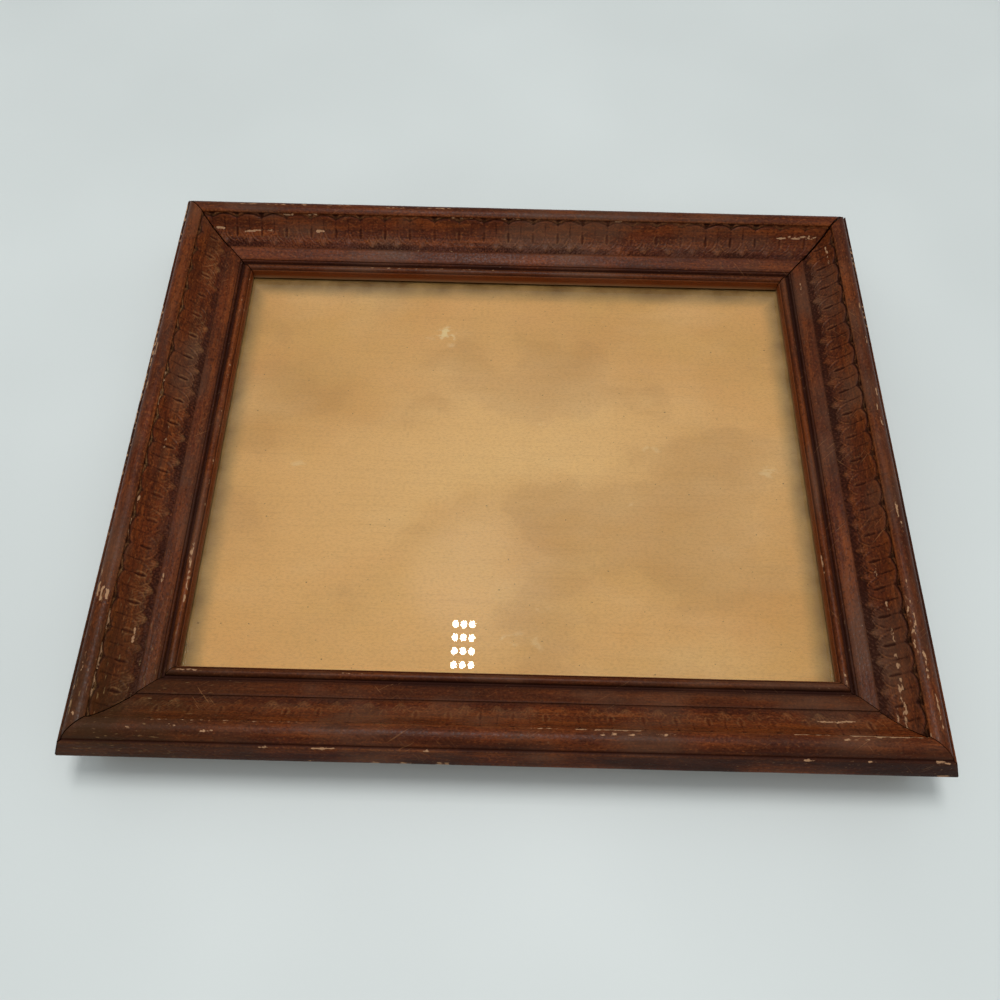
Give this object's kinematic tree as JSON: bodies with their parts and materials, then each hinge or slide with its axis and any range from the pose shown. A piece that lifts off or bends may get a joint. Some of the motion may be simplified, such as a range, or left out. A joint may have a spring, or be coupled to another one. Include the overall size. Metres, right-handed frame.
{
  "type": "picture frame",
  "caption": "Mitred wooden picture frame with rounded ridge, carved cove and beaded sight edge, glazed, with turn buttons and swinging D-ring hangers on its back.",
  "frame": {"origin": "under the middle of the frame, on the surface that its bumper pads stand on", "axes": "+X along the long side to the right as the picture is looked at, +Y along the short side towards the top rail, +Z out of the face, so the frame lies on its back"},
  "size_m": [0.3106, 0.2598, 0.033],
  "materials": {
    "stained_wood": "reddish brown stain under worn shellac",
    "window_glass": "clear, polished",
    "aged_card": "matt, aged tan paper card",
    "corrugated_board": "matt brown paper board",
    "hardboard": "smooth pressed fibre board",
    "blued_steel": "blued spring steel strip",
    "zinc_plated_steel": "dull zinc plate",
    "screw_steel": "dull zinc plate, worn in the slot",
    "brass_plated_steel": "tarnished brass plate",
    "felt_pad": "dark felt-faced rubber"
  },
  "bodies": {
    "frame": {"top_rail": "stained_wood", "bottom_rail": "stained_wood", "left_rail": "stained_wood", "right_rail": "stained_wood", "glass_pane": "window_glass", "picture_card": "aged_card", "filler_board": "corrugated_board", "back_board": "hardboard", "v_nails_top_left": "blued_steel", "v_nails_top_right": "blued_steel", "v_nails_bottom_left": "blued_steel", "v_nails_bottom_right": "blued_steel", "turn_button_screws": "screw_steel", "hanger_strap_left": "brass_plated_steel", "hanger_strap_right": "brass_plated_steel", "hanger_screws": "screw_steel", "bumper_pads": "felt_pad"},
    "turn_button_top_left": {"turn_button_top_left": "zinc_plated_steel"},
    "turn_button_top_right": {"turn_button_top_right": "zinc_plated_steel"},
    "turn_button_bottom_left": {"turn_button_bottom_left": "zinc_plated_steel"},
    "turn_button_bottom_right": {"turn_button_bottom_right": "zinc_plated_steel"},
    "turn_button_left": {"turn_button_left": "zinc_plated_steel"},
    "turn_button_right": {"turn_button_right": "zinc_plated_steel"},
    "hanger_ring_left": {"hanger_ring_left": "brass_plated_steel"},
    "hanger_ring_right": {"hanger_ring_right": "brass_plated_steel"}
  },
  "joints": [
    {"name": "turn_button_top_left_turn", "type": "hinge", "parent": "frame", "child": "turn_button_top_left", "pos_m": [-0.072, 0.1099, 0.00425], "axis": [0, 0, 1], "continuous": true},
    {"name": "turn_button_top_right_turn", "type": "hinge", "parent": "frame", "child": "turn_button_top_right", "pos_m": [0.072, 0.1099, 0.00425], "axis": [0, 0, 1], "continuous": true},
    {"name": "turn_button_bottom_left_turn", "type": "hinge", "parent": "frame", "child": "turn_button_bottom_left", "pos_m": [-0.072, -0.1099, 0.00425], "axis": [0, 0, 1], "continuous": true},
    {"name": "turn_button_bottom_right_turn", "type": "hinge", "parent": "frame", "child": "turn_button_bottom_right", "pos_m": [0.072, -0.1099, 0.00425], "axis": [0, 0, 1], "continuous": true},
    {"name": "turn_button_left_turn", "type": "hinge", "parent": "frame", "child": "turn_button_left", "pos_m": [-0.1353, 0, 0.00425], "axis": [0, 0, 1], "continuous": true},
    {"name": "turn_button_right_turn", "type": "hinge", "parent": "frame", "child": "turn_button_right", "pos_m": [0.1353, 0, 0.00425], "axis": [0, 0, 1], "continuous": true},
    {"name": "hanger_ring_left_swing", "type": "hinge", "parent": "frame", "child": "hanger_ring_left", "pos_m": [-0.1303, 0.045, 0.00302], "axis": [0, 1, 0], "range_deg": [0, 180]},
    {"name": "hanger_ring_right_swing", "type": "hinge", "parent": "frame", "child": "hanger_ring_right", "pos_m": [0.1303, 0.045, 0.00302], "axis": [0, -1, 0], "range_deg": [0, 180]}
  ]
}
